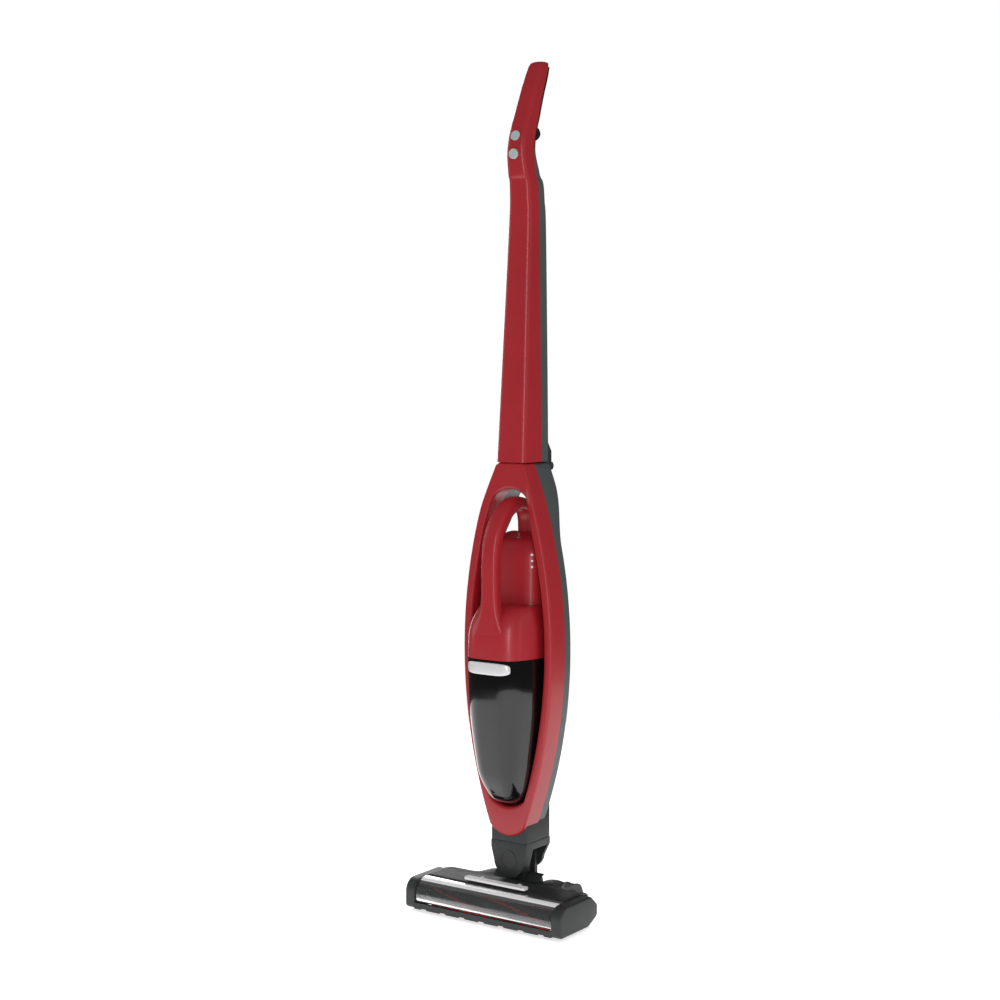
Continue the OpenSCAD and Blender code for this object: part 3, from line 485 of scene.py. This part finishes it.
def tube_rows():
    w = TUBE_HALF
    return [
        [SEAM, w, TUBE_FRONT, 27, 48], [SEAM + 164, w - 2.6, -4.5, 28, 49.5], [BEND - 68, w - 5.75, 6.5, 29.4, 49.5],
        [BEND - 32, 16, 0, 26, 41], [BEND - 12, 15, -5.6, 21, 30.5], [BEND + 4, 14.5, -6.7, 20, 26.5],
        [BEND + 24, 14, 0, 25, 33], [BEND + 37, 14, 6, 31, 39], [BEND + 67, 13.5, 18.6, 40, 48.5],
        [BEND + 95, 13.2, 31, 50.5, 59.5], [BEND + 110, 12.8, 38, 56.5, 65],
        [BEND + 118, 12.4, 42, 59.5, 67.6], [BEND + 122.5, 11.2, 45, 61, 68.2], [BEND + 124.4, 9, 48.5, 62, 67.4],
        [BEND + 125, 5.5, 53, 62.5, 65.5]]


def relax(rows, passes):
    """Evens out the change from row to row, keeping the heights and both ends."""
    for _ in range(passes):
        rows = [rows[0]] + [[b[0]] + [(p + 2 * q + r) / 4 for p, q, r in zip(a[1:], b[1:], c[1:])]
                            for a, b, c in zip(rows, rows[1:], rows[2:])] + [rows[-1]]
    return rows


def half_section(w, face, seam, r, z):
    """D-shaped section between the flat seam and a face with round corners."""
    turn = 1 if face > seam else -1
    r = min(r, w - 0.5, abs(face - seam) - 0.5)
    right = [(w - r + r * math.cos(math.pi / 2 * k / 8), face - turn * r + turn * r * math.sin(math.pi / 2 * k / 8))
             for k in range(9)]
    points = [(w, seam)] + right + [(-x, y) for x, y in right[::-1]] + [(-w, seam)]
    return [(x, y, z) for x, y in points]


def make_tube(mats):
    rows = smooth_rows(tube_rows(), 6)
    bend = [r for r in rows if r[0] < BEND + 100]
    rows = relax(bend, 14) + rows[len(bend):]
    front = [half_section(w, f, s, 7.5, z) for z, w, f, s, b in rows]
    piece("tube_front_fine", *loft(front), mats["red_shell"], "red_shell", "handle", ["tube_front"])
    cut = BEND + 4
    back = [half_section(w - 0.8, b, s, 6, z) for z, w, f, s, b in rows if z <= cut]
    piece("tube_rear_fine", *loft(back), mats["grey_shell"], "grey_shell", "handle", ["tube_rear"])
    grip = [half_section(w - 0.8, b, s, 6, z) for z, w, f, s, b in rows if cut - 0.1 <= z <= BEND + 121]
    stop = []
    for t in range(17):
        a = math.pi * t / 16
        z = BEND + 14 + 18 * t / 16
        base = 26.5 + (z - BEND - 4) * 0.36
        rise = 8.5 * math.sin(a) ** 0.8
        stop.append([(x, y, z) for x, y in rounded_box(-11.5, base - 3, 11.5, base + 0.4 + rise, 1.4)])
    piece("grip_strip_fine", *join(loft(grip), loft(stop)), mats["black_part"], "black_part", "handle", ["grip_strip"])


# ---- hand unit and dust container ----

def fillet(points, radii, n=7):
    """Convex outline with every corner replaced by an arc of its own radius, always with the same point count."""
    out = []
    for k, (x, y) in enumerate(points):
        a, b = points[k - 1], points[(k + 1) % len(points)]
        ua = Vector((a[0] - x, a[1] - y)).normalized()
        ub = Vector((b[0] - x, b[1] - y)).normalized()
        half = ua.angle(ub) / 2
        reach = min(radii[k] / math.tan(half), 0.48 * math.dist(a, (x, y)), 0.48 * math.dist(b, (x, y)))
        r = reach * math.tan(half)
        mid = Vector((x, y)) + (ua + ub).normalized() * (r / math.sin(half))
        start = Vector((x, y)) + ua * reach - mid
        turn = math.pi - 2 * half
        for s in range(n + 1):
            t = turn * s / n
            out.append((mid.x + start.x * math.cos(t) - start.y * math.sin(t),
                        mid.y + start.x * math.sin(t) + start.y * math.cos(t)))
    return out


def hull_section(flat, half, front, back, z, inset=0.0):
    """Section of the hand unit: flat front, slanted cheeks and a square back."""
    f, h, y0, y1 = flat - inset, half - inset, front + inset, back - inset
    points = [(-f, y0), (f, y0), (h, FRONT), (h, y1), (-h, y1), (-h, FRONT)]
    return [(x, y, z) for x, y in fillet(points, (30, 30, 24, 5, 5, 24))]


def loop_rows():
    base = [[-57.6, DECK - 36, 26, 9.5], [-57.4, DECK - 24, 20.5, 9.5], [-57, DECK - 8, 15, 9.5],
            [-56.6, DECK + 12, 12.4, 9.5]]
    path = [(-56.5, 28), (-56.5, 63), (-52, 88), (-41, 109), (-24, 125), (-4, 133), (14, 130), (24, 116), (26, 96),
            (26, 72)]
    return base + [[y, DECK + z, 12, 9.5 if y < 10 else 8] for y, z in path]


def loop_sections():
    rows = smooth_rows(loop_rows(), 4)
    rings = []
    for k, (y, z, w, t) in enumerate(rows):
        a, b = rows[max(k - 1, 0)], rows[min(k + 1, len(rows) - 1)]
        dy, dz = b[0] - a[0], b[1] - a[1]
        size = math.hypot(dy, dz)
        dy, dz = dy / size, dz / size
        rings.append([(x, y + v * dz, z - v * dy) for x, v in superellipse(w, -t, t, 3.4, 36)])
    return rings


def make_hand_unit(mats):
    seat = SEAT
    rows = [[BIN_TOP + 0.5, 37, 50, BIN_FRONT], [BIN_TOP + 20, 36.4, 50, BIN_FRONT + 0.3],
            [BIN_TOP + 34, 35, 49.8, BIN_FRONT + 1.4], [BIN_TOP + 45, 33.2, 48.4, BIN_FRONT + 4.6],
            [BIN_TOP + 54, 31, 46.4, BIN_FRONT + 10], [BIN_TOP + 62, 28.5, 44.4, BIN_FRONT + 18],
            [DECK - 0.2, 25, 42, BIN_FRONT + 27], [DECK, 24, 41, BIN_FRONT + 28]]
    body = [hull_section(f, h, y, seat, z) for z, f, h, y in smooth_rows(rows, 3)]
    piece("hand_shell_fine", *join(loft(body), loft(loop_sections())), mats["red_shell"], "red_shell", "hand_unit",
          ["hand_shell"])

    rows = [[DECK + 0.2, 41, -16, 0, 0.0], [DECK + 30, 41, -16, 0, 0.0], [DECK + 55, 41, -16, 0, 0.04],
            [DECK + 66, 39.8, -14.8, 0.4, 0.2], [DECK + 75, 36, -11.5, 2, 0.33], [DECK + 82, 29.5, -7.5, 3.6, 0.38],
            [DECK + 86, 21, -3, 6, 0.4], [DECK + 88, 10, 3, 9, 0.4]]
    dome = []
    for z, w, y0, back, slope in smooth_rows(rows, 2.5):
        y1 = seat - back
        shape = fillet([(-w, y0), (w, y0), (w, y1), (-w, y1)], (min(20, w - 1), min(20, w - 1), 8, 8), 10)
        dome.append([(x, y, z + slope * (y - y0)) for x, y in shape])
    piece("motor_housing_fine", *loft(dome), mats["red_shell"], "red_shell", "hand_unit", ["motor_housing"])


def make_bin(mats):
    base = BIN_LOW
    rows = [[base, 8, 15, BIN_FRONT + 41], [base + 2, 11, 20, BIN_FRONT + 36], [base + 7, 15, 25.5, BIN_FRONT + 30],
            [base + 18, 20, 31, BIN_FRONT + 23.6], [base + 34, 25.5, 35.5, BIN_FRONT + 15.5],
            [base + 54, 29, 39.4, BIN_FRONT + 10.6], [base + 110, 34, 47, BIN_FRONT + 3],
            [BIN_TOP - 40, 36.4, 49.5, BIN_FRONT + 0.8], [BIN_TOP, 37, 50, BIN_FRONT]]
    rows = smooth_rows(rows, 5)
    outer = [hull_section(f, h, y, SEAT, z) for z, f, h, y in rows]
    inner = [hull_section(f, h, y, SEAT, max(z, base + 2.2), 2.2) for z, f, h, y in rows]
    piece("dust_container_fine", *vessel(outer, inner), mats["smoked_bin"], "smoked_bin", "dust_bin",
          ["dust_container"])

    half, z0, z1 = high("bin_button")[0], low("bin_button")[2], high("bin_button")[2]

    def face(x):
        return BIN_FRONT + max(abs(x) - 14.4, 0) ** 2 / 60

    mid, tall = (z0 + z1) / 2, (z1 - z0) / 2
    rings = []
    for k in range(61):
        x = half * 0.9995 * math.sin(math.pi / 2 * (k / 30 - 1))
        h = tall * (1 - abs(x / half) ** 4.2) ** (1 / 4.2)
        proud = -1.6 + 1.1 * abs(x / half) ** 12
        rings.append([(x, face(x) + y, mid + z) for y, z in rounded_box(proud, -h, 2.9, h, min(1.5, h * 0.8))])
    piece("bin_button_fine", *loft(rings), mats["silver_badge"], "silver_badge", "bin_key", ["bin_button"])


# ---- keys ----

def round_key(name, node, body, tilt, mats):
    """Round grip key with a rolled edge and a shallow dish, on the axis of its bore."""
    a, b = low(node), high(node)
    centre = Vector([(p + q) / 2 for p, q in zip(a, b)])
    tip = Vector((0, -math.cos(tilt), math.sin(tilt)))
    up = Vector((0, math.sin(tilt), math.cos(tilt)))
    rings = []
    for r, out in ((6.9, -2.6), (6.9, 2.0), (6.6, 2.45), (6.0, 2.68), (4.8, 2.55), (2.4, 2.3)):
        rings.append([tuple(centre + Vector((1, 0, 0)) * r * math.cos(2 * math.pi * k / 40) +
                            up * r * math.sin(2 * math.pi * k / 40) + tip * out) for k in range(40)])
    piece(name, *loft(rings), mats["silver_key"], "silver_key", body, [node])


def make_keys(mats):
    round_key("mode_button_fine", "mode_button", "mode_key", 0.0, mats)
    round_key("power_button_fine", "power_button", "power_key", math.radians(17), mats)


# ---- floor head ----

COVER_TOP = 44.6        # stays under the bar of the pressed pedal
COVER_FALL = 4.6        # drop at the back
NECK_SWELL = 3.4
SHOULDER = 3.0


def cover_height(x, y):
    """Top of the cover: falls away at the back and swells towards the neck."""
    t = min(max((y - HEAD_FRONT - 62) / 26, 0), 1)
    base = COVER_TOP - COVER_FALL * t * t
    front = min(max((HEAD_FRONT + 37 - y) / 6.5, 0), 1)
    swell = NECK_SWELL * math.exp(-(x / 58) ** 2) * math.exp(-((y + 22) / 11) ** 2)
    shoulder = SHOULDER * math.exp(-((abs(x) - 48) / 15) ** 2) * min(max((y + 8) / 14, 0), 1)
    side = min(max((HEAD_HALF - CAP_W - abs(x)) / 6, 0), 1)
    return base - 1.1 * front ** 2 + swell + shoulder - 0.7 * (1 - side) ** 2


def cover_back(x):
    """Rear edge of the cover, which reaches furthest over the wheel arms."""
    x = abs(x)
    return -2.2 + 33 * ease(x, 27, 36) - 23.8 * ease(x, 57, 70)


def make_cover(mats):
    half = HEAD_HALF - CAP_W - 0.1
    columns, rows = 111, 25
    top, under = [], []
    for i in range(columns):
        x = -half + 2 * half * i / (columns - 1)
        y0, y1 = HEAD_FRONT + 30.6, cover_back(x)
        for j in range(rows):
            y = y0 + (y1 - y0) * j / (rows - 1)
            z = cover_height(x, y)
            edge = max(0, 1 - (y1 - y) / 3.2)
            z -= 1.6 * edge * edge
            top.append((x, y, z))
            under.append((x, y, z - 2.4 if j < rows - 1 else max(z - 14, 12) if abs(x) > 28 else z - 6))
    faces = []
    n = len(top)
    for i in range(columns - 1):
        for j in range(rows - 1):
            a, b = i * rows + j, (i + 1) * rows + j
            faces.append([a, b, b + 1, a + 1])
            faces.append([n + a, n + a + 1, n + b + 1, n + b])
    for i in range(columns - 1):
        a, b = i * rows, (i + 1) * rows
        faces.append([a, n + a, n + b, b])
        a, b = a + rows - 1, b + rows - 1
        faces.append([a, b, n + b, n + a])
    for j in range(rows - 1):
        faces.append([j, j + 1, n + j + 1, n + j])
        a = (columns - 1) * rows + j
        faces.append([a, n + a, n + a + 1, a + 1])
    bands = []
    for side in (-1, 1):
        rings = []
        for k in range(25):
            a = math.radians(100 + 62 * k / 24)
            c, s = math.cos(a), math.sin(a)
            rings.append([(side * x, 16.75 + r * c, 34 + r * s) for x, r in
                          ((15, 17), (15, 18.2), (15.6, 18.7), (36, 18.7), (36, 17))][::side])
        bands.append(loft(rings))
    piece("head_cover_fine", *join((top + under, faces), *bands), mats["dark_shell"], "dark_shell", "floor_head",
          ["head_cover"])


def make_caps(mats):
    y0, y1, z0, z1 = HEAD_FRONT, CAP_BACK, SOLE, CAP_TOP
    for side, name in ((-1, "left"), (1, "right")):
        rings = []
        for out, shrink in ((-CAP_W, 0), (-2.6, 0), (-1.2, 0.35), (-0.4, 1.0), (0, 2.2)):
            a = shrink
            shape = fillet([(y0 + a, z0 + a), (y1 - 22, z0 + a), (y1 - a, z0 + 11), (y1 - a, z1 - 13),
                            (y1 - 15, z1 - a), (y0 + a, z1 - a)], (5, 8, 6, 6, 8, 16), 8)
            rings.append([(side * (HEAD_HALF + out), y, z) for y, z in shape])
        piece(f"end_cap_{name}_fine", *loft(rings if side > 0 else [r[::-1] for r in rings]), mats["dark_shell"],
              "dark_shell", "floor_head", [f"end_cap_{name}"])


def make_bristles(mats):
    """Four spiral rows of tufts, each tuft a bundle of tapered filaments that leans a little."""
    rng = random.Random(7)
    lo, hi = low("brush_bristles")[0], high("brush_bristles")[0]
    verts, faces = [], []
    for row in range(4):
        for k in range(112):
            t = (k + 0.5) / 112
            angle = math.radians(90 * row + 150 * t + 40)
            x0 = lo + (hi - lo) * t
            for _ in range(3):
                a0 = angle + rng.uniform(-0.05, 0.05)
                a1 = a0 + rng.uniform(-0.07, 0.07)
                x1 = min(max(x0 + rng.uniform(-1.4, 1.4), lo + 0.5), hi - 0.5)
                tip = BRUSH_R - rng.uniform(0.1, 0.9)
                base = len(verts)
                for x, a, r, w in ((x0, a0, 11.2, 0.75), (x1, a1, tip, 0.35)):
                    for dx, da in ((-w, -w), (w, -w), (w, w), (-w, w)):
                        aa = a + da / r
                        verts.append((min(max(x + dx, lo), hi), BRUSH_Y + r * math.cos(aa), BRUSH_Z + r * math.sin(aa)))
                b = base
                faces += [[b, b + 3, b + 2, b + 1], [b + 4, b + 5, b + 6, b + 7]]
                faces += [[b + i, b + (i + 1) % 4, b + 4 + (i + 1) % 4, b + 4 + i] for i in range(4)]
    piece("brush_bristles_fine", verts, faces, mats["bristle"], "bristle", "brush_roll", ["brush_bristles"])


def make_window(mats):
    """Clear curved panel over the brush with a thicker, rounded upper rim: a white crowned band on its upper part, a
    painted highlight that stands in for the reflection there.
    """
    rings = []
    for k in range(49):
        a = math.radians(77 + 119 * k / 48)
        thick = 1.8
        r0 = BRUSH_R + 2.4
        half = HEAD_HALF - CAP_W - 0.5
        ring = [(-half, r0), (-half, r0 + thick - 0.5), (-half + 0.6, r0 + thick), (half - 0.6, r0 + thick),
                (half, r0 + thick - 0.5), (half, r0)]
        rings.append([(x, BRUSH_Y + r * math.cos(a), BRUSH_Z + r * math.sin(a)) for x, r in ring])
    piece("brush_window_fine", *loft(rings), mats["clear_window"], "clear_window", "floor_head", ["brush_window"])
    # White crowned band on the window's upper part: a painted highlight in place of the reflection along the top of the
    # window.
    rings = []
    for k in range(17):
        a = math.radians(101 + 21 * k / 16)
        crown = 0.35 * math.sin(math.pi * k / 16) + 0.06
        r = BRUSH_R + 4.2
        half = HEAD_HALF - CAP_W - 0.7
        ring = [(-half, r - 0.4), (-half, r + crown - 0.05), (-half + 1, r + crown), (half - 1, r + crown),
                (half, r + crown - 0.05), (half, r - 0.4)]
        rings.append([(x, BRUSH_Y + q * math.cos(a), BRUSH_Z + q * math.sin(a)) for x, q in ring])
    piece("brush_window_painted_highlight", *loft(rings), mats["white_part"], "white_part", "floor_head", ["brush_window"])


# ---- neck ----

def plate_outline(r, inset):
    """Plate that is square at the top and round about the swivel, as (x, z)."""
    top, w = high("neck_fork")[2] - inset, NECK_HALF - inset
    arc = [math.radians(-6 - 168 * k / 40) for k in range(41)]
    low_arc = [((r - inset) * math.cos(a), SWIVEL + (r - inset) * math.sin(a)) for a in arc]
    return [(-w, top), (w, top), (w, SWIVEL + 15)] + low_arc + [(-w, SWIVEL + 15)]


def make_neck(mats):
    front = [[(x, y, z) for x, z in plate_outline(24, inset)]
             for inset, y in ((0, NECK_FRONT + 17), (0, NECK_FRONT + 1.2), (0.35, NECK_FRONT + 0.35),
                              (1.2, NECK_FRONT))]
    back = [[(x, y, z) for x, z in plate_outline(20, inset)]
            for inset, y in ((1.0, NECK_BACK), (0.3, NECK_BACK - 0.3), (0, NECK_BACK - 1), (0, NECK_BACK - 6))]
    top = high("neck_fork")[2]
    bridge = [[(x, y, z) for x, y in rounded_box(-w, NECK_FRONT + e, w, NECK_BACK - e, 2.5)]
              for w, e, z in ((NECK_HALF - 1, 1, top - 10), (NECK_HALF - 0.2, 0.2, top - 9),
                              (NECK_HALF - 0.05, 0.05, top - 0.5), (NECK_HALF - 0.5, 0.5, top))]
    piece("neck_fork_fine", *join(loft(front), loft(back), loft(bridge)), mats["dark_shell"], "dark_shell", "frame",
          ["neck_fork"])
    collar = [[(x, y, z) for x, y in rounded_box(-NECK_HALF + e, NECK_FRONT + e, NECK_HALF - e, NECK_BACK - e, 3)]
              for e, z in ((0.6, top), (0, top + 0.6), (0, top + 46), (0.9, top + 47.4))]
    piece("neck_collar_fine", *loft(collar), mats["dark_shell"], "dark_shell", "frame", ["neck_collar"])


# ---- putting it together ----

SOFT_EDGES = {"clean_pedal": 1.1, "neck_fork": 0.9, "neck_collar": 0.9, "front_lip": 0.8, "hinge_lower": 1.0,
              "hinge_upper": 1.0, "tilt_yoke": 0.8, "rear_wheel_left": 1.0, "rear_wheel_right": 1.0}


def dress(mats):
    """Gives each CAD node its finish and a small moulded radius on its edges."""
    for node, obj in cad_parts.items():
        name = obj.data.materials[0].name.split(".")[0]
        obj.data.materials[0] = mats[name]
        for face in obj.data.polygons:
            face.use_smooth = True
        bevel = obj.modifiers.new("edge", "BEVEL")
        bevel.width = SOFT_EDGES.get(node, 0.4) * MM
        bevel.segments = 2
        bevel.limit_method = "ANGLE"
        bevel.angle_limit = math.radians(35)
        bevel.harden_normals = True


def main():
    mats = make_materials()
    stage()
    dress(mats)
    make_frame(mats)
    make_tube(mats)
    make_hand_unit(mats)
    make_bin(mats)
    make_keys(mats)
    make_cover(mats)
    make_caps(mats)
    make_bristles(mats)
    make_window(mats)
    make_neck(mats)


main()
